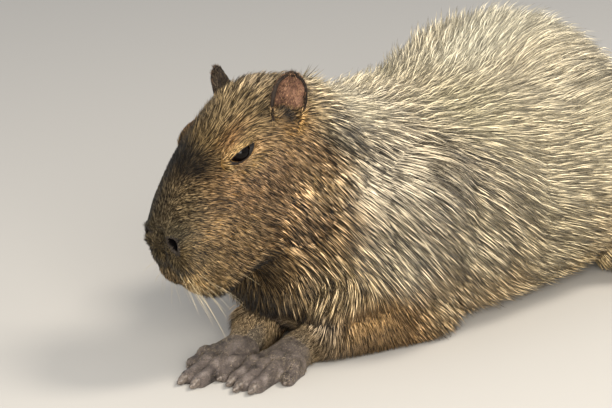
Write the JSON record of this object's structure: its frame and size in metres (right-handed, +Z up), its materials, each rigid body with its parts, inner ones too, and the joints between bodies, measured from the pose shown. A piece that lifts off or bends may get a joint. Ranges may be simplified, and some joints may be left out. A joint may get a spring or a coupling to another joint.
{
  "type": "capybara",
  "caption": "Life-size still model of a capybara at rest on its belly, forelegs stretched ahead, blunt heavy head low and turned a little to its right.",
  "frame": {"origin": "on the floor under the middle of the trunk, on the flat where the belly rests", "axes": "+Z up, the animal faces -Y, its left side is +X"},
  "size_m": [0.489, 0.9427, 0.3487],
  "materials": {
    "coat": "coarse straw-brown hair",
    "face_coat": "short dense brown hair, darker on the muzzle",
    "bare_skin": "dark grey-mauve leathery skin",
    "claw_horn": "blunt grey-black horn, worn satin",
    "eye": "wet black-brown, polished"
  },
  "bodies": {
    "root": {"head": "face_coat", "neck": "coat", "torso": "coat", "foreleg_left": "face_coat", "foreleg_right": "face_coat", "haunch_left": "coat", "haunch_right": "coat", "ear_left": "bare_skin", "ear_right": "bare_skin", "eye_left": "eye", "eye_right": "eye", "forefoot_left": "bare_skin", "forefoot_right": "bare_skin", "hindfoot_left": "bare_skin", "hindfoot_right": "bare_skin", "claw_forefoot_left_1": "claw_horn", "claw_forefoot_left_2": "claw_horn", "claw_forefoot_left_3": "claw_horn", "claw_forefoot_left_4": "claw_horn", "claw_forefoot_right_1": "claw_horn", "claw_forefoot_right_2": "claw_horn", "claw_forefoot_right_3": "claw_horn", "claw_forefoot_right_4": "claw_horn", "claw_hindfoot_left_1": "claw_horn", "claw_hindfoot_left_2": "claw_horn", "claw_hindfoot_left_3": "claw_horn", "claw_hindfoot_right_1": "claw_horn", "claw_hindfoot_right_2": "claw_horn", "claw_hindfoot_right_3": "claw_horn"}
  },
  "joints": []
}
